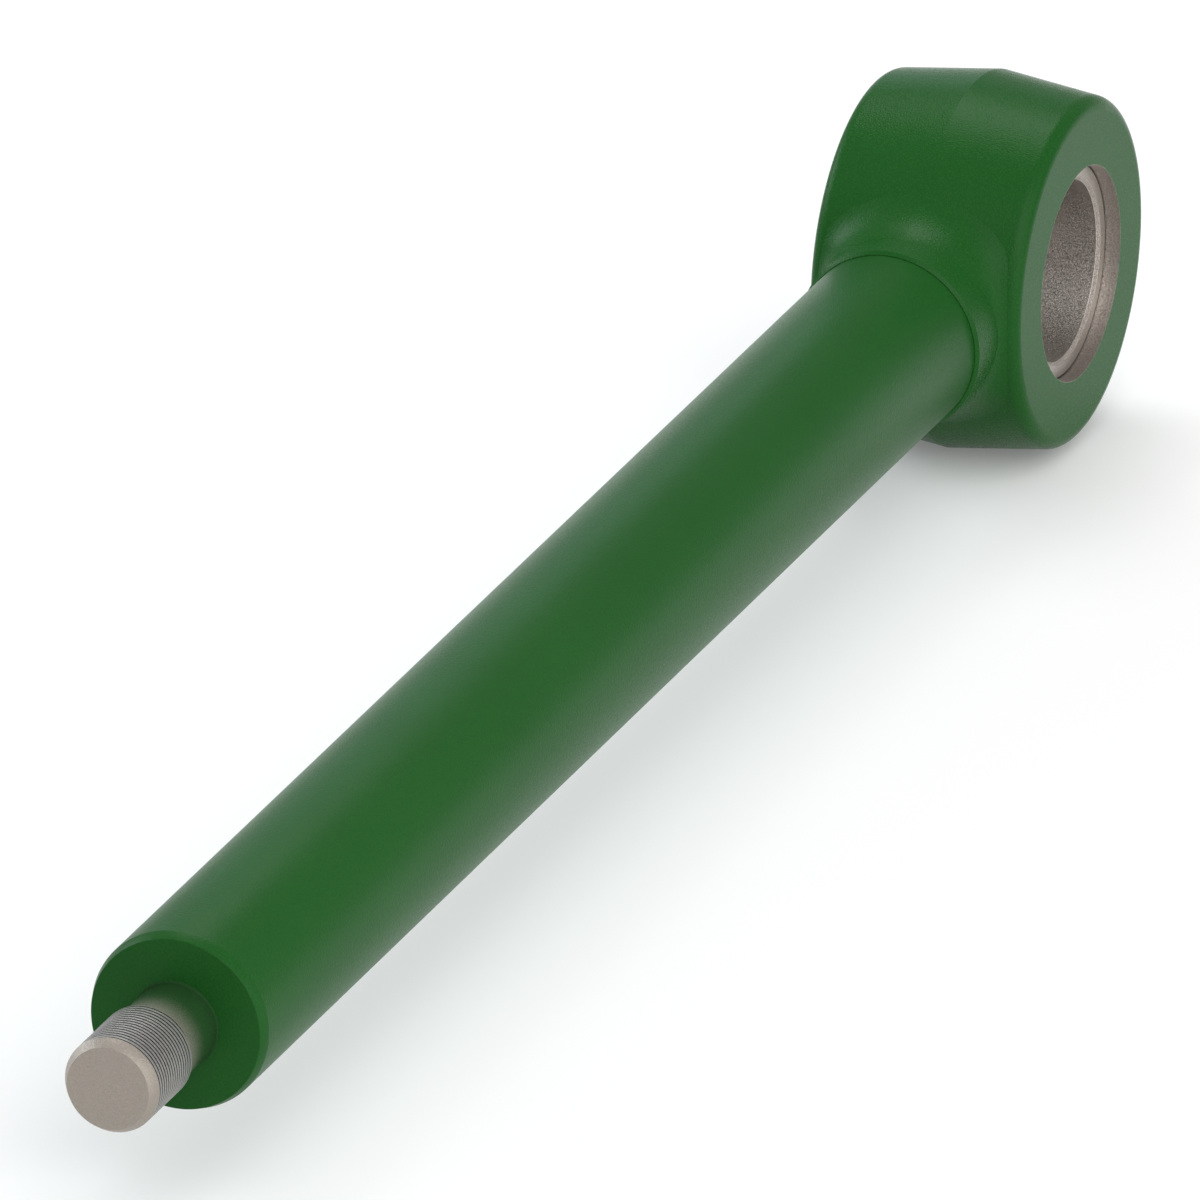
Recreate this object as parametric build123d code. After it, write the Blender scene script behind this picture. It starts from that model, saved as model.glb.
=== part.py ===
from build123d import *
import math
import os

# Hydraulic cylinder piston rod with a forged eye, painted green.
# X runs along the rod from the eye to the threaded end, Y along the pin through the eye, Z up.
# The origin is the centre of the pin bore, on the parting plane of the forging.
# All sizes are in millimetres.

# Turned bar
ROD_DIAMETER = 50.8
SHOULDER_DISTANCE = 586.4
LEAD_LENGTH = 3.5
LEAD_DEPTH = 1.15

# Threaded stud that carries the piston
RELIEF_DIAMETER = 24.0
RELIEF_LENGTH = 21.1
RELIEF_ROOT_CHAMFER = 0.4
THREAD_DIAMETER = 27.0
THREAD_LENGTH = 26.6
THREAD_RUNOUT_DEPTH = 0.6
TIP_DEPTH = 1.8
TIP_ANGLE = 30.0

# Forged eye
BARREL_DIAMETER = 105.4
BARREL_WIDTH = 61.7
DRAFT_ANGLE = 7.0
RIM_RADIUS = 4.0
EYE_BORE_DIAMETER = 60.5
NECK_DIAMETER = 53.1
NECK_LENGTH = 66.6
NECK_CHAMFER = 0.9

# Flare between the neck and the barrel
FLARE_SIDE_RADIUS = 4.0
FLARE_TOP_RADIUS = 25.0
FLARE_SECTIONS = 14
FLARE_OVERRUN = 8.0
FLARE_OVERLAP = 0.08
FLARE_ROOT = 1.2

# Pressed bushing
PIN_DIAMETER = 50.8
BUSHING_RECESS = 4.4
BUSHING_LEAD = 0.95
BUSHING_EDGE_BREAK = 0.35


def revolved(points, axis, rounds=()):
    """Revolve a closed outline about an axis, after rounding the named corners."""
    outline = make_face(Polyline(*points, close=True))
    for corner, radius in rounds:
        outline = fillet(outline.vertices().sort_by_distance(corner)[0], radius)
    return revolve(outline, axis)


def piston_rod():
    """Bar turned from one length: flat weld end, seal lead-in, shoulder, relief and thread."""
    bar = ROD_DIAMETER / 2
    relief = RELIEF_DIAMETER / 2
    thread = THREAD_DIAMETER / 2
    thread_start = SHOULDER_DISTANCE + RELIEF_LENGTH
    tip = thread_start + THREAD_LENGTH
    tip_length = TIP_DEPTH / math.tan(math.radians(TIP_ANGLE))
    outline = [
        (NECK_LENGTH, 0),
        (NECK_LENGTH, bar),
        (SHOULDER_DISTANCE - LEAD_LENGTH, bar),
        (SHOULDER_DISTANCE, bar - LEAD_DEPTH),
        (SHOULDER_DISTANCE, relief + RELIEF_ROOT_CHAMFER),
        (SHOULDER_DISTANCE + RELIEF_ROOT_CHAMFER, relief),
        (thread_start, relief),
        (thread_start, thread - THREAD_RUNOUT_DEPTH),
        (thread_start + THREAD_RUNOUT_DEPTH, thread),
        (tip - tip_length, thread),
        (tip, thread - TIP_DEPTH),
        (tip, 0),
    ]
    return revolved(outline, Axis.X)


def flare_radius(phase):
    """Radius of the flare at an angle round the neck: tight at the side faces, full on the parting plane.

    The full radius is no larger than the one that would end where the neck does.
    """
    neck = NECK_DIAMETER / 2
    barrel = BARREL_DIAMETER / 2
    neck_end = NECK_LENGTH - NECK_CHAMFER
    most = (neck_end**2 - barrel**2 + neck**2) / (2 * (barrel - neck))
    full = min(FLARE_TOP_RADIUS, most)
    return FLARE_SIDE_RADIUS + (full - FLARE_SIDE_RADIUS) * math.sin(phase) ** 2


def flare_section(phase):
    """Outline of the flare where a ball of its radius rests in the corner of neck and barrel.

    The ball touches the drafted side of the barrel or, near the side faces, its rounded rim.
    Neck and barrel are taken a little small, so that the flare overlaps the metal it blends.
    """
    draft = math.radians(DRAFT_ANGLE)
    neck = NECK_DIAMETER / 2 - FLARE_OVERLAP
    barrel = BARREL_DIAMETER / 2 - FLARE_OVERLAP / math.cos(draft)
    rim = RIM_RADIUS - FLARE_OVERLAP
    rim_y = BARREL_WIDTH / 2 - RIM_RADIUS
    rim_distance = barrel - (rim + rim_y * math.sin(draft)) / math.cos(draft)
    ball = flare_radius(phase)
    y = (neck + ball) * math.cos(phase)
    z = (neck + ball) * math.sin(phase)
    touch_y = y - ball * math.sin(draft)
    if touch_y <= rim_y + rim * math.sin(draft):
        distance = barrel + (ball - y * math.sin(draft)) / math.cos(draft)
        touch = distance - ball * math.cos(draft)
    else:
        distance = rim_distance + math.sqrt((ball + rim) ** 2 - (y - rim_y) ** 2)
        touch = rim_distance + (distance - rim_distance) * rim / (ball + rim)
        touch_y = rim_y + (y - rim_y) * rim / (ball + rim)
    x = math.sqrt(distance**2 - z**2)
    centre = Vector(x, y, z)
    on_neck = Vector(x, neck * math.cos(phase), neck * math.sin(phase))
    on_barrel = Vector(x * touch / distance, touch_y, z * touch / distance)
    to_neck = on_neck - centre
    to_barrel = on_barrel - centre
    middle = centre + (to_neck + to_barrel).normalized() * ball
    root = centre + (to_neck + to_barrel) * FLARE_ROOT
    return Wire([ThreePointArc(on_neck, middle, on_barrel), Line(on_barrel, root), Line(root, on_neck)])


def quarter_flare():
    """Loft of the flare's sections from the side face to just past the parting plane, cut off there.

    On a barrel narrower than the neck it starts where the ball first touches the rim.
    """
    neck = NECK_DIAMETER / 2
    first = math.acos(min(1.0, (BARREL_WIDTH / 2 + FLARE_SIDE_RADIUS) / (neck + FLARE_SIDE_RADIUS)))
    last = math.radians(90 + FLARE_OVERRUN)
    steps = [first + (last - first) * step / FLARE_SECTIONS for step in range(FLARE_SECTIONS + 1)]
    return split(Solid.make_loft([flare_section(phase) for phase in steps]), Plane.XZ, keep=Keep.BOTTOM)


def rod_eye():
    """Eye forged in two die halves, so its barrel tapers both ways from the parting plane."""
    barrel = BARREL_DIAMETER / 2
    half_width = BARREL_WIDTH / 2
    face = barrel - half_width * math.tan(math.radians(DRAFT_ANGLE))
    left_rim = (face, -half_width)
    right_rim = (face, half_width)
    tapered_barrel = revolved(
        [(0, -half_width), left_rim, (barrel, 0), right_rim, (0, half_width)],
        Axis.Y,
        rounds=[(left_rim, RIM_RADIUS), (right_rim, RIM_RADIUS)],
    )
    neck = NECK_DIAMETER / 2
    round_neck = revolved(
        [
            (0, 0),
            (NECK_LENGTH, 0),
            (NECK_LENGTH, neck - NECK_CHAMFER),
            (NECK_LENGTH - NECK_CHAMFER, neck),
            (0, neck),
        ],
        Axis.X,
    )
    flare = quarter_flare()
    flare += mirror(flare, about=Plane.XZ)
    flare += mirror(flare, about=Plane.XY)
    bore = Cylinder(EYE_BORE_DIAMETER / 2, BARREL_WIDTH, rotation=(90, 0, 0))
    return tapered_barrel + round_neck + flare - bore


def eye_bushing():
    """Plain steel bushing pressed into the eye, short of both faces, with a lead for the pin."""
    inner = PIN_DIAMETER / 2
    outer = EYE_BORE_DIAMETER / 2
    end = BARREL_WIDTH / 2 - BUSHING_RECESS
    outline = [
        (inner, -end + BUSHING_LEAD),
        (inner + BUSHING_LEAD, -end),
        (outer - BUSHING_EDGE_BREAK, -end),
        (outer, -end + BUSHING_EDGE_BREAK),
        (outer, end - BUSHING_EDGE_BREAK),
        (outer - BUSHING_EDGE_BREAK, end),
        (inner + BUSHING_LEAD, end),
        (inner, end - BUSHING_LEAD),
    ]
    return revolved(outline, Axis.Y)


os.makedirs("parts", exist_ok=True)
for make_piece in (piston_rod, rod_eye, eye_bushing):
    export_step(make_piece(), f"parts/{make_piece.__name__}.step")
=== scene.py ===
import bpy
import bmesh
import math
from mathutils import Matrix, Vector


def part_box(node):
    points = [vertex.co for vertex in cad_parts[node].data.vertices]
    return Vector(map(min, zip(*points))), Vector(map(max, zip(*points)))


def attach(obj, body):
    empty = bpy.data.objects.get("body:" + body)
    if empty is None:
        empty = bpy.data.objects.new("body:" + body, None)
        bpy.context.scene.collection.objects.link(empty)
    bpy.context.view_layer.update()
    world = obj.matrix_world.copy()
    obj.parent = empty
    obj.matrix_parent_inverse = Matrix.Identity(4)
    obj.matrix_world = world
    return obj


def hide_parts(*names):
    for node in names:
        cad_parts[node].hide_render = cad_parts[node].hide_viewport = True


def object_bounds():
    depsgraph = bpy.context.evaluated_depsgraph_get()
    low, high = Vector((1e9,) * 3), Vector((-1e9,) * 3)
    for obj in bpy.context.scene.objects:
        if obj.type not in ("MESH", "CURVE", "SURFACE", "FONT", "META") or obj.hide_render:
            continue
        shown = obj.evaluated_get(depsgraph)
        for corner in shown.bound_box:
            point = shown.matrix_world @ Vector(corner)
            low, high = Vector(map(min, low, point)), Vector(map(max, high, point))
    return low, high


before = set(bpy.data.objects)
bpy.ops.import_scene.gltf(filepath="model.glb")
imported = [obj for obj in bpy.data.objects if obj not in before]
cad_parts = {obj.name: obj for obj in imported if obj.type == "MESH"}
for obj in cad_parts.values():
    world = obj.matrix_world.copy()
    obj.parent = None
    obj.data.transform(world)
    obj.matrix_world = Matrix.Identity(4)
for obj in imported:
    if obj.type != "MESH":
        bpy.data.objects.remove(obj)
cad_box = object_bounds()

# Camera
# The photograph is a parallel view of the rod from its threaded end, from the left and above.
# A very long lens a long way off comes close to it, and still suits the other views.
VIEW_AZIMUTH = math.radians(111.65)
VIEW_ELEVATION = math.radians(22.3)
VIEW_WIDTH = 0.3241
VIEW_HALF_ANGLE = math.radians(0.65)
VIEW_AIM = Vector((0.3036, 0.0091, 0.0154))

camera_data = bpy.data.cameras.new("camera")
camera_data.sensor_width = 36.0
camera_data.lens = camera_data.sensor_width / 2 / math.tan(VIEW_HALF_ANGLE)
camera_data.clip_start = 1.0
camera_data.clip_end = 60.0
camera = bpy.data.objects.new("camera", camera_data)
bpy.context.scene.collection.objects.link(camera)
towards_camera = Vector((
    math.sin(VIEW_AZIMUTH) * math.cos(VIEW_ELEVATION),
    -math.cos(VIEW_AZIMUTH) * math.cos(VIEW_ELEVATION),
    math.sin(VIEW_ELEVATION),
))
camera.location = VIEW_AIM + towards_camera * (VIEW_WIDTH / 2 / math.tan(VIEW_HALF_ANGLE))
camera.rotation_euler = (-towards_camera).to_track_quat("-Z", "Y").to_euler()
bpy.context.scene.camera = camera
bpy.context.scene.view_settings.view_transform = "Standard"


def linear(hex_colour):
    """A written sRGB colour such as "2f5d33" as the linear colour that a shader takes."""
    channels = [int(hex_colour[i:i + 2], 16) / 255 for i in (0, 2, 4)]
    return [c / 12.92 if c <= 0.04045 else ((c + 0.055) / 1.055) ** 2.4 for c in channels] + [1.0]


def add_node(material, kind, inputs=(), links=(), **settings):
    """Add one shader node, set its properties and input values, and link outputs of earlier nodes to it."""
    node = material.node_tree.nodes.new(kind)
    for name, value in settings.items():
        setattr(node, name, value)
    for socket, value in dict(inputs).items():
        node.inputs[socket].default_value = value
    for socket, output in dict(links).items():
        material.node_tree.links.new(output, node.inputs[socket])
    return node


# Studio
# A white floor in a plain grey room, with soft boxes in front of the rod, at both sides and behind it.
# The left box and the low box behind are a little cool, like the thin bright lines in the photograph.
FLOOR_LEVEL = cad_box[0].z
FLOOR_RADIUS = 6.0
FLOOR_LIFT = 0.16
STUDIO_CENTRE = Vector((0.2, 0, 0))
LAMPS = (
    ("front_box", (0.55, 0.45, 0.70), 2.6, (2.4, 2.0), 39.0, "ffffff"),
    ("right_box", (0.20, 0.95, 0.30), 2.4, (2.4, 1.8), 23.0, "ffffff"),
    ("left_box", (-0.05, -0.90, 0.42), 2.4, (1.5, 1.0), 27.0, "eef8ff"),
    ("rear_box", (-0.50, -0.21, 0.84), 2.0, (1.0, 1.0), 13.0, "ffffff"),
    ("low_rear_box", (-0.86, -0.45, 0.25), 2.4, (1.0, 0.6), 1.4, "d8f4ff"),
)

shape = bmesh.new()
bmesh.ops.create_circle(
    shape, cap_ends=True, segments=96, radius=FLOOR_RADIUS,
    matrix=Matrix.Translation((STUDIO_CENTRE.x, STUDIO_CENTRE.y, FLOOR_LEVEL)),
)
floor_mesh = bpy.data.meshes.new("floor")
shape.to_mesh(floor_mesh)
shape.free()
floor = bpy.data.objects.new("floor", floor_mesh)
bpy.context.scene.collection.objects.link(floor)

# Matt white paint, lifted to pure white for the camera and in reflections, with no more light on the rod.
floor_paint = bpy.data.materials.new("matt white studio floor")
floor_paint.use_nodes = True
shader = floor_paint.node_tree.nodes["Principled BSDF"]
shader.inputs["Base Color"].default_value = linear("e6e6e6")
shader.inputs["Roughness"].default_value = 1.0
shader.inputs["Specular IOR Level"].default_value = 0.0
shader.inputs["Emission Color"].default_value = linear("ffffff")
rays = add_node(floor_paint, "ShaderNodeLightPath")
seen = add_node(
    floor_paint, "ShaderNodeMath", {}, {0: rays.outputs["Is Camera Ray"], 1: rays.outputs["Is Glossy Ray"]},
    operation="MAXIMUM",
)
seen = add_node(
    floor_paint, "ShaderNodeMath", {}, {0: seen.outputs["Value"], 1: rays.outputs["Is Transmission Ray"]},
    operation="MAXIMUM",
)
lift = add_node(
    floor_paint, "ShaderNodeMath", {1: FLOOR_LIFT}, {0: seen.outputs["Value"]}, operation="MULTIPLY"
)
floor_paint.node_tree.links.new(lift.outputs["Value"], shader.inputs["Emission Strength"])
floor_mesh.materials.append(floor_paint)

world = bpy.data.worlds.new("grey room")
world.use_nodes = True
bpy.context.scene.world = world
world.node_tree.nodes["Background"].inputs["Color"].default_value = linear("a9a9a9")

for name, side, distance, size, power, colour in LAMPS:
    lamp_data = bpy.data.lights.new(name, "AREA")
    lamp_data.shape = "RECTANGLE"
    lamp_data.size, lamp_data.size_y = size
    lamp_data.energy = power
    lamp_data.color = linear(colour)[:3]
    lamp = bpy.data.objects.new(name, lamp_data)
    lamp.location = STUDIO_CENTRE + Vector(side).normalized() * distance
    lamp.rotation_euler = (-Vector(side)).to_track_quat("-Z", "Y").to_euler()
    lamp.visible_camera = False
    bpy.context.scene.collection.objects.link(lamp)

# Bar
# Solid steel bar, turned and ground to size, with a lead for the seals at its threaded end.
# The whole bar and its end face are sprayed with the same green enamel as the forging.
BAR_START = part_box("piston_rod")[0].x
BAR_RADIUS = 0.0254
SHOULDER = 0.5864
LEAD_LENGTH = 0.0035
LEAD_DEPTH = 0.00115
BAR_EDGE_BREAK = 0.0002
BAR_STEPS = 192
SHARP_ANGLE = math.radians(30)


def smooth_piece(shape, name):
    """Turn a finished bmesh into a smooth piece with its sharp edges kept."""
    bmesh.ops.recalc_face_normals(shape, faces=shape.faces)
    mesh = bpy.data.meshes.new(name)
    shape.to_mesh(mesh)
    shape.free()
    mesh.shade_smooth()
    mesh.set_sharp_from_angle(angle=SHARP_ANGLE)
    piece = bpy.data.objects.new(name, mesh)
    bpy.context.scene.collection.objects.link(piece)
    return piece


shape = bmesh.new()
outline = [
    shape.verts.new((along, 0, radius))
    for along, radius in (
        (BAR_START, 0),
        (BAR_START, BAR_RADIUS),
        (SHOULDER - LEAD_LENGTH, BAR_RADIUS),
        (SHOULDER, BAR_RADIUS - LEAD_DEPTH),
        (SHOULDER, 0),
    )
]
for pair in zip(outline, outline[1:]):
    shape.edges.new(pair)
bmesh.ops.bevel(
    shape, geom=outline[1:-1], offset=BAR_EDGE_BREAK, segments=3, profile=0.5, affect="VERTICES", material=-1
)
bmesh.ops.spin(
    shape, geom=shape.verts[:] + shape.edges[:], cent=(0, 0, 0), axis=(1, 0, 0), angle=math.tau,
    steps=BAR_STEPS, use_merge=True,
)
bmesh.ops.remove_doubles(shape, verts=shape.verts, dist=1e-6)
bar = smooth_piece(shape, "painted_bar")
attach(bar, "root")

# Green enamel, sprayed on and air dried: a deep green with a soft satin shine and a faint orange peel.
# Real spray leaves a grain of a tenth of a millimetre. It is drawn at half a millimetre, so that it shows.
# A noise's scale is its spots to the metre, so 2000 draws spots of half a millimetre and 420 of 2.4 mm.
enamel = bpy.data.materials.new("green machine enamel, sprayed")
enamel.use_nodes = True
place = add_node(enamel, "ShaderNodeTexCoord")
grain = add_node(
    enamel, "ShaderNodeTexNoise", {"Scale": 2000.0, "Detail": 1.0}, {"Vector": place.outputs["Object"]},
    name="grain",
)
peel = add_node(
    enamel, "ShaderNodeTexNoise", {"Scale": 420.0, "Detail": 2.0}, {"Vector": place.outputs["Object"]}
)
drift = add_node(
    enamel, "ShaderNodeTexNoise", {"Scale": 25.0, "Detail": 2.0}, {"Vector": place.outputs["Object"]}
)
tint = add_node(
    enamel, "ShaderNodeMix", {"A": linear("1b4e1d"), "B": linear("1f5421")},
    {"Factor": drift.outputs["Fac"]}, data_type="RGBA",
)
specks = add_node(
    enamel, "ShaderNodeMapRange", {"From Min": 0.35, "From Max": 0.65, "To Min": 0.92, "To Max": 1.08},
    {"Value": grain.outputs["Fac"]},
)
speckled = add_node(
    enamel, "ShaderNodeMix", {"Factor": 1.0}, {"A": tint.outputs["Result"], "B": specks.outputs["Result"]},
    data_type="RGBA", blend_type="MULTIPLY", name="speckled",
)
sheen = add_node(
    enamel, "ShaderNodeMapRange", {"From Min": 0.35, "From Max": 0.65, "To Min": 0.29, "To Max": 0.39},
    {"Value": grain.outputs["Fac"]}, name="sheen",
)
coarse = add_node(
    enamel, "ShaderNodeBump", {"Strength": 0.05, "Distance": 0.0003}, {"Height": peel.outputs["Fac"]}
)
fine = add_node(
    enamel, "ShaderNodeBump", {"Strength": 0.3, "Distance": 0.0003},
    {"Height": grain.outputs["Fac"], "Normal": coarse.outputs["Normal"]}, name="fine",
)
shader = enamel.node_tree.nodes["Principled BSDF"]
shader.inputs["Specular IOR Level"].default_value = 0.07
enamel.node_tree.links.new(speckled.outputs["Result"], shader.inputs["Base Color"])
enamel.node_tree.links.new(sheen.outputs["Result"], shader.inputs["Roughness"])
enamel.node_tree.links.new(fine.outputs["Normal"], shader.inputs["Normal"])
bar.data.materials.append(enamel)

# Stud
# The end of the same bar, turned down to a plain relief and a 1.5 mm pitch thread for the piston.
# It is masked while the rod is sprayed, so it stays bare steel with the grain that turning leaves.
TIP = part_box("piston_rod")[1].x
RELIEF_RADIUS = 0.012
RELIEF_LENGTH = 0.0211
RELIEF_ROOT = 0.0004
RELIEF_END_BREAK = 0.0005
THREAD_RADIUS = 0.0135
THREAD_START = SHOULDER + RELIEF_LENGTH
CHAMFER_DEPTH = 0.0018
CHAMFER_ANGLE = math.radians(30)
CHAMFER_START = TIP - CHAMFER_DEPTH / math.tan(CHAMFER_ANGLE)
PITCH = 0.0015
CREST = 0.55 * PITCH
FLANK = (PITCH - CREST) / 2
FLANK_ANGLE = math.radians(60)
GROOVE_DEPTH = FLANK * math.tan(FLANK_ANGLE)
TURN_STEPS = 128
FIRST_TURN = THREAD_START - 1.4 * PITCH
RUN_OUT = 0.8 * PITCH
BURIED = 0.002

shape = bmesh.new()
outline = [
    shape.verts.new((along, 0, THREAD_RADIUS - depth))
    for along, depth in ((0, 0), (CREST, 0), (CREST + FLANK, GROOVE_DEPTH), (PITCH, 0))
]
for pair in zip(outline, outline[1:]):
    shape.edges.new(pair)
bmesh.ops.subdivide_edges(shape, edges=shape.edges[:], cuts=2)
bmesh.ops.translate(shape, verts=shape.verts, vec=(FIRST_TURN, 0, 0))
bmesh.ops.spin(
    shape, geom=shape.verts[:] + shape.edges[:], cent=(0, 0, 0), axis=(1, 0, 0), angle=math.tau,
    steps=TURN_STEPS, dvec=(PITCH / TURN_STEPS, 0, 0),
)
one_turn = shape.verts[:] + shape.edges[:] + shape.faces[:]
for turn in range(1, math.ceil((CHAMFER_START - THREAD_START) / PITCH) + 2):
    copy = bmesh.ops.duplicate(shape, geom=one_turn)["geom"]
    moved = [g for g in copy if isinstance(g, bmesh.types.BMVert)]
    bmesh.ops.translate(shape, verts=moved, vec=(turn * PITCH, 0, 0))
bmesh.ops.remove_doubles(shape, verts=shape.verts, dist=PITCH / 100)
# The groove runs out before the chamfer, so that the chamfer meets a plain round edge.
for point in shape.verts:
    radius = math.hypot(point.co.y, point.co.z)
    cut = min(1, max(0, (CHAMFER_START - point.co.x) / RUN_OUT))
    rise = (THREAD_RADIUS - (THREAD_RADIUS - radius) * cut) / radius
    point.co.y *= rise
    point.co.z *= rise
for plane, side in ((THREAD_START, -1), (CHAMFER_START, 1)):
    bmesh.ops.bisect_plane(
        shape, geom=shape.verts[:] + shape.edges[:] + shape.faces[:], dist=1e-7,
        plane_co=(plane, 0, 0), plane_no=(side, 0, 0), clear_outer=True,
    )


def turn_on(shape, start, steps):
    """Carry the open rim at one end of a turned piece on through steps of (distance along, radius)."""
    rim = [e for e in shape.edges if e.is_boundary and all(abs(v.co.x - start) < 1e-6 for v in e.verts)]
    for along, radius in steps:
        grown = bmesh.ops.extrude_edge_only(shape, edges=rim)["geom"]
        rim = [g for g in grown if isinstance(g, bmesh.types.BMEdge)]
        for point in (g for g in grown if isinstance(g, bmesh.types.BMVert)):
            scale = radius / math.hypot(point.co.y, point.co.z)
            point.co = (along, point.co.y * scale, point.co.z * scale)
    bmesh.ops.contextual_create(shape, geom=rim)


turn_on(shape, CHAMFER_START, [(TIP, THREAD_RADIUS - CHAMFER_DEPTH)])
turn_on(shape, THREAD_START, [
    (THREAD_START, THREAD_RADIUS - GROOVE_DEPTH),
    (THREAD_START - RELIEF_END_BREAK, RELIEF_RADIUS),
    (SHOULDER + RELIEF_ROOT, RELIEF_RADIUS),
    (SHOULDER, RELIEF_RADIUS + RELIEF_ROOT),
    (SHOULDER - BURIED, RELIEF_RADIUS + RELIEF_ROOT),
])
stud = smooth_piece(shape, "threaded_stud")
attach(stud, "root")
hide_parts("piston_rod")
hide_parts("piston_rod")

# Bare turned steel is a warm grey metal, dulled by the fine grain of the cut.
# The grain is drawn at about a third of a millimetre, coarser than a real one, so that it shows.
steel = bpy.data.materials.new("turned carbon steel, bare")
steel.use_nodes = True
place = add_node(steel, "ShaderNodeTexCoord")
grain = add_node(
    steel, "ShaderNodeTexNoise", {"Scale": 2800.0, "Detail": 1.0}, {"Vector": place.outputs["Object"]}
)
tint = add_node(
    steel, "ShaderNodeMix", {"A": linear("9e968d"), "B": linear("a8a097")}, {"Factor": grain.outputs["Fac"]},
    data_type="RGBA", name="tint",
)
polish = add_node(
    steel, "ShaderNodeMapRange", {"From Min": 0.35, "From Max": 0.65, "To Min": 0.48, "To Max": 0.68},
    {"Value": grain.outputs["Fac"]}, name="polish",
)
cut = add_node(
    steel, "ShaderNodeBump", {"Strength": 0.9, "Distance": 0.00015}, {"Height": grain.outputs["Fac"]},
    name="cut",
)
shader = steel.node_tree.nodes["Principled BSDF"]
shader.inputs["Metallic"].default_value = 1.0
steel.node_tree.links.new(tint.outputs["Result"], shader.inputs["Base Color"])
steel.node_tree.links.new(polish.outputs["Result"], shader.inputs["Roughness"])
steel.node_tree.links.new(cut.outputs["Normal"], shader.inputs["Normal"])

# The grooves of the thread are darkened with painted shade under bright crests.
# A fine spray of green paint that passed the mask has dusted the relief, and near the shoulder its green is
# also a painted reflection of the green shoulder face. It thins out in specks before the thread.
THREAD_MIDDLE = (THREAD_START + CHAMFER_START) / 2
THREAD_MARGIN = 0.0001
THREAD_REACH = (CHAMFER_START - THREAD_START) / 2 - THREAD_MARGIN
GROOVE_SHADE_RADIUS = THREAD_RADIUS - 0.25 * GROOVE_DEPTH
BRIGHT_RADIUS = THREAD_RADIUS - 0.05 * GROOVE_DEPTH
MIST_AND_REFLECTION_START = SHOULDER + 0.012
MIST_AND_REFLECTION_END = SHOULDER + 0.036
MIST_AND_REFLECTION_SCATTER = 0.008

stud_finish = steel.copy()
stud_finish.name = "turned carbon steel, oiled, with a mist of green paint"
place = add_node(stud_finish, "ShaderNodeTexCoord")
radial = add_node(
    stud_finish, "ShaderNodeVectorMath", {1: (0, 1, 1)}, {0: place.outputs["Object"]}, operation="MULTIPLY"
)
radius = add_node(stud_finish, "ShaderNodeVectorMath", {}, {0: radial.outputs["Vector"]}, operation="LENGTH")
# Painted shade: the thread's grooves are coloured near black below the shade radius, and turn to the plain
# crest colour above it.
crest = add_node(
    stud_finish, "ShaderNodeMapRange", {"From Min": GROOVE_SHADE_RADIUS, "From Max": BRIGHT_RADIUS},
    {"Value": radius.outputs["Value"]},
)
flight = add_node(
    stud_finish, "ShaderNodeMix", {"A": linear("0c0c0b"), "B": linear("9d9c99")},
    {"Factor": crest.outputs["Result"]}, data_type="RGBA",
)
along = add_node(stud_finish, "ShaderNodeSeparateXYZ", {}, {"Vector": place.outputs["Object"]})
threaded = add_node(
    stud_finish, "ShaderNodeMath", {1: THREAD_MIDDLE, 2: THREAD_REACH}, {0: along.outputs["X"]},
    operation="COMPARE",
)
metal = add_node(
    stud_finish, "ShaderNodeMix", {},
    {"Factor": threaded.outputs["Value"], "A": stud_finish.node_tree.nodes["tint"].outputs["Result"],
     "B": flight.outputs["Result"]},
    data_type="RGBA",
)
scatter_noise = add_node(stud_finish, "ShaderNodeTexNoise", {"Scale": 2600.0}, {"Vector": place.outputs["Object"]})
ragged = add_node(
    stud_finish, "ShaderNodeMath", {1: MIST_AND_REFLECTION_SCATTER}, {0: scatter_noise.outputs["Fac"], 2: along.outputs["X"]},
    operation="MULTIPLY_ADD",
)
# Painted reflection: the green near the shoulder, fading along the relief, stands partly for the green
# shoulder face mirrored in the bare steel and partly for stray paint.
mist_and_reflection = add_node(
    stud_finish, "ShaderNodeMapRange",
    {"From Min": MIST_AND_REFLECTION_START, "From Max": MIST_AND_REFLECTION_END, "To Min": 1.0, "To Max": 0.0},
    {"Value": ragged.outputs["Value"]}, interpolation_type="SMOOTHSTEP",
)
colour = add_node(
    stud_finish, "ShaderNodeMix", {"B": linear("204220")},
    {"Factor": mist_and_reflection.outputs["Result"], "A": metal.outputs["Result"]}, data_type="RGBA",
)
bare = add_node(
    stud_finish, "ShaderNodeMath", {0: 1.0}, {1: mist_and_reflection.outputs["Result"]}, operation="SUBTRACT"
)
shader = stud_finish.node_tree.nodes["Principled BSDF"]
shader.inputs["Specular IOR Level"].default_value = 0.06
stud_finish.node_tree.links.new(colour.outputs["Result"], shader.inputs["Base Color"])
stud_finish.node_tree.links.new(bare.outputs["Value"], shader.inputs["Metallic"])
stud.data.materials.append(stud_finish)

# Forged eye
# Steel forging, friction welded to the bar by its neck and sprayed with it. It has the CAD shape.
# Its cross bore is machined after spraying, so the wall of the bore is bare steel up to the green face.
BORE_RADIUS = 0.03025
PAINT_EDGE = 0.00005
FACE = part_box("rod_eye")[1].y
SKIN_END = FACE - 0.0008
SMOOTH_START = FACE - 0.0002

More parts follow.
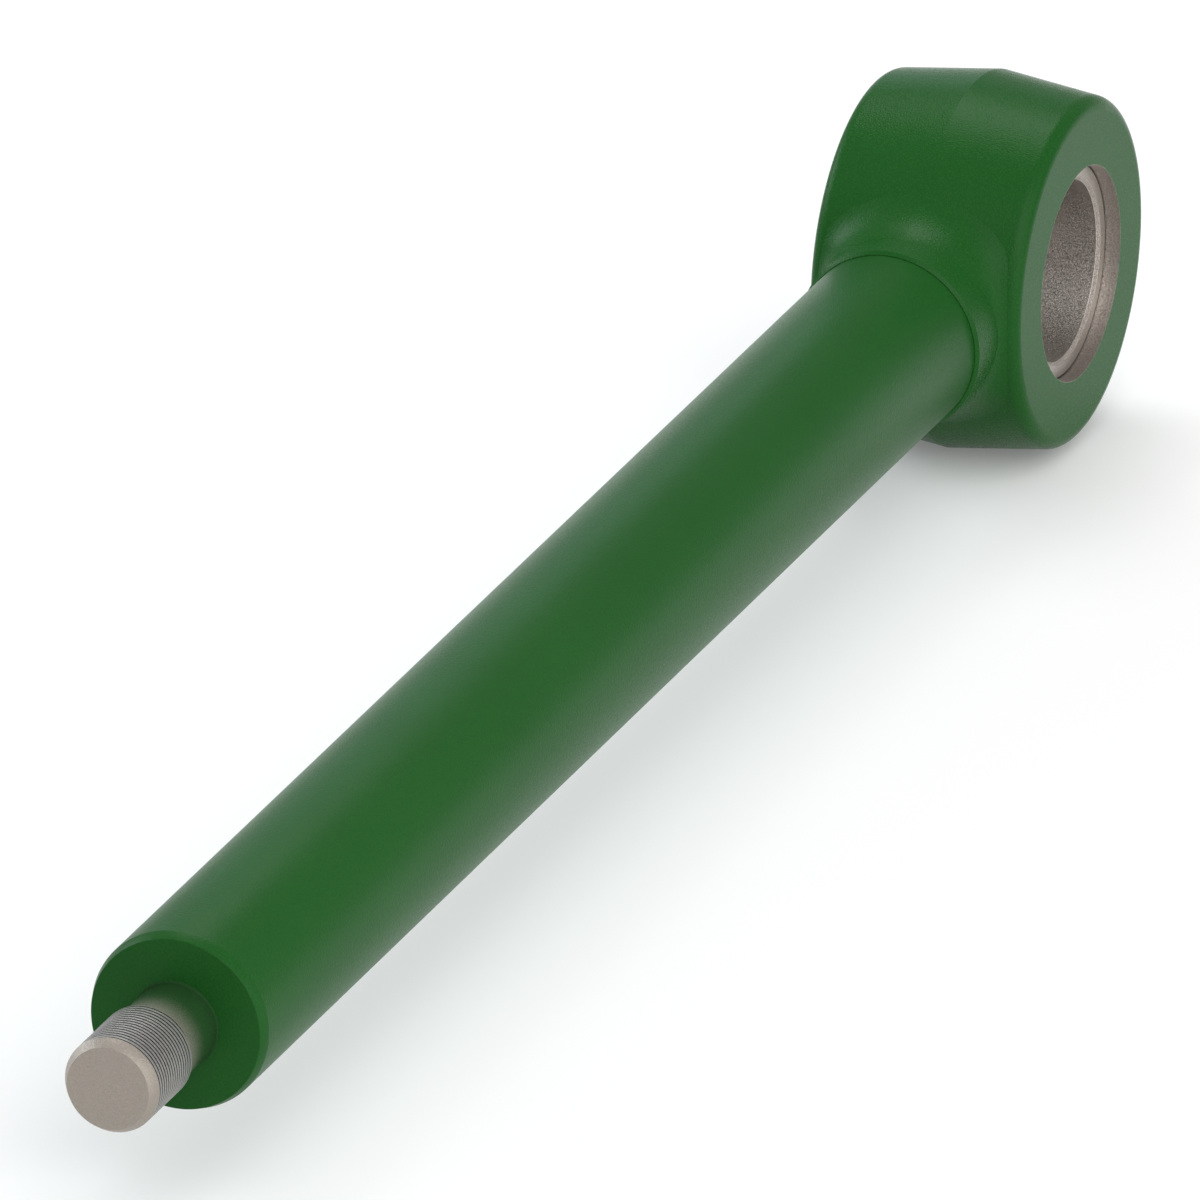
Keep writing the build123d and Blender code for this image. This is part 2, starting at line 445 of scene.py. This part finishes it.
# The forging's skin gives the enamel a crisper shine and a stronger grain than the ground bar does.
# The two faces are machined flat before they are sprayed, and the paint lies smooth on them.
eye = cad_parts["rod_eye"]
eye_finish = enamel.copy()
eye_finish.name = "green enamel with a bare machined bore"
nodes = eye_finish.node_tree.nodes
nodes["sheen"].inputs["To Min"].default_value = 0.18
nodes["sheen"].inputs["To Max"].default_value = 0.30
nodes["fine"].inputs["Distance"].default_value = 0.0004
place = add_node(eye_finish, "ShaderNodeTexCoord")
radial = add_node(
    eye_finish, "ShaderNodeVectorMath", {1: (1, 0, 1)}, {0: place.outputs["Object"]}, operation="MULTIPLY"
)
radius = add_node(eye_finish, "ShaderNodeVectorMath", {}, {0: radial.outputs["Vector"]}, operation="LENGTH")
bare = add_node(
    eye_finish, "ShaderNodeMath", {1: BORE_RADIUS + PAINT_EDGE}, {0: radius.outputs["Value"]},
    operation="LESS_THAN",
)
across = add_node(eye_finish, "ShaderNodeSeparateXYZ", {}, {"Vector": place.outputs["Object"]})
depth = add_node(eye_finish, "ShaderNodeMath", {}, {0: across.outputs["Y"]}, operation="ABSOLUTE")
skin = add_node(
    eye_finish, "ShaderNodeMapRange",
    {"From Min": SKIN_END, "From Max": SMOOTH_START, "To Min": 0.3, "To Max": 0.05},
    {"Value": depth.outputs["Value"]},
)
metal = add_node(
    eye_finish, "ShaderNodeMix", {"A": linear("7f7771"), "B": linear("d8d0c8")},
    {"Factor": nodes["grain"].outputs["Fac"]}, data_type="RGBA",
)
colour = add_node(
    eye_finish, "ShaderNodeMix", {},
    {"Factor": bare.outputs["Value"], "A": nodes["speckled"].outputs["Result"],
     "B": metal.outputs["Result"]},
    data_type="RGBA",
)
polish = add_node(
    eye_finish, "ShaderNodeMix", {"B": 0.5},
    {"Factor": bare.outputs["Value"], "A": nodes["sheen"].outputs["Result"]}, data_type="FLOAT",
)
shader = nodes["Principled BSDF"]
eye_finish.node_tree.links.new(colour.outputs["Result"], shader.inputs["Base Color"])
eye_finish.node_tree.links.new(polish.outputs["Result"], shader.inputs["Roughness"])
eye_finish.node_tree.links.new(bare.outputs["Value"], shader.inputs["Metallic"])
eye_finish.node_tree.links.new(skin.outputs["Result"], nodes["fine"].inputs["Strength"])
eye.data.materials.clear()
eye.data.materials.append(eye_finish)

# Bushing
# Plain steel bushing, bored and chamfered, pressed into the eye a few millimetres below each face.
# Its bore is brighter than the stud, its lead is matt, and its seam with the forging is a fine line of
# painted shade.
SEAM_START = 0.0298
LEAD_MIDDLE = 0.0259
LEAD_REACH = 0.0004

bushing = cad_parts["eye_bushing"]
bushing_finish = steel.copy()
bushing_finish.name = "bored steel bushing"
nodes = bushing_finish.node_tree.nodes
nodes["tint"].inputs["A"].default_value = linear("6d6661")
nodes["tint"].inputs["B"].default_value = linear("e6ded6")
nodes["polish"].inputs["To Min"].default_value = 0.32
nodes["polish"].inputs["To Max"].default_value = 0.58
nodes["cut"].inputs["Strength"].default_value = 0.4
place = add_node(bushing_finish, "ShaderNodeTexCoord")
radial = add_node(
    bushing_finish, "ShaderNodeVectorMath", {1: (1, 0, 1)}, {0: place.outputs["Object"]},
    operation="MULTIPLY",
)
radius = add_node(
    bushing_finish, "ShaderNodeVectorMath", {}, {0: radial.outputs["Vector"]}, operation="LENGTH"
)
# Painted shade: the outer edge of the bushing is coloured dark along its seam with the forging.
seam = add_node(
    bushing_finish, "ShaderNodeMath", {1: SEAM_START}, {0: radius.outputs["Value"]}, operation="GREATER_THAN"
)
colour = add_node(
    bushing_finish, "ShaderNodeMix", {"B": linear("1f1b18")},
    {"Factor": seam.outputs["Value"], "A": nodes["tint"].outputs["Result"]}, data_type="RGBA",
)
lead = add_node(
    bushing_finish, "ShaderNodeMath", {1: LEAD_MIDDLE, 2: LEAD_REACH}, {0: radius.outputs["Value"]},
    operation="COMPARE",
)
matt = add_node(
    bushing_finish, "ShaderNodeMath", {1: 0.85}, {0: lead.outputs["Value"]}, operation="MULTIPLY"
)
polish = add_node(
    bushing_finish, "ShaderNodeMath", {}, {0: nodes["polish"].outputs["Result"], 1: matt.outputs["Value"]},
    operation="MAXIMUM",
)
shader = nodes["Principled BSDF"]
bushing_finish.node_tree.links.new(colour.outputs["Result"], shader.inputs["Base Color"])
bushing_finish.node_tree.links.new(polish.outputs["Value"], shader.inputs["Roughness"])
bushing.data.materials.clear()
bushing.data.materials.append(bushing_finish)
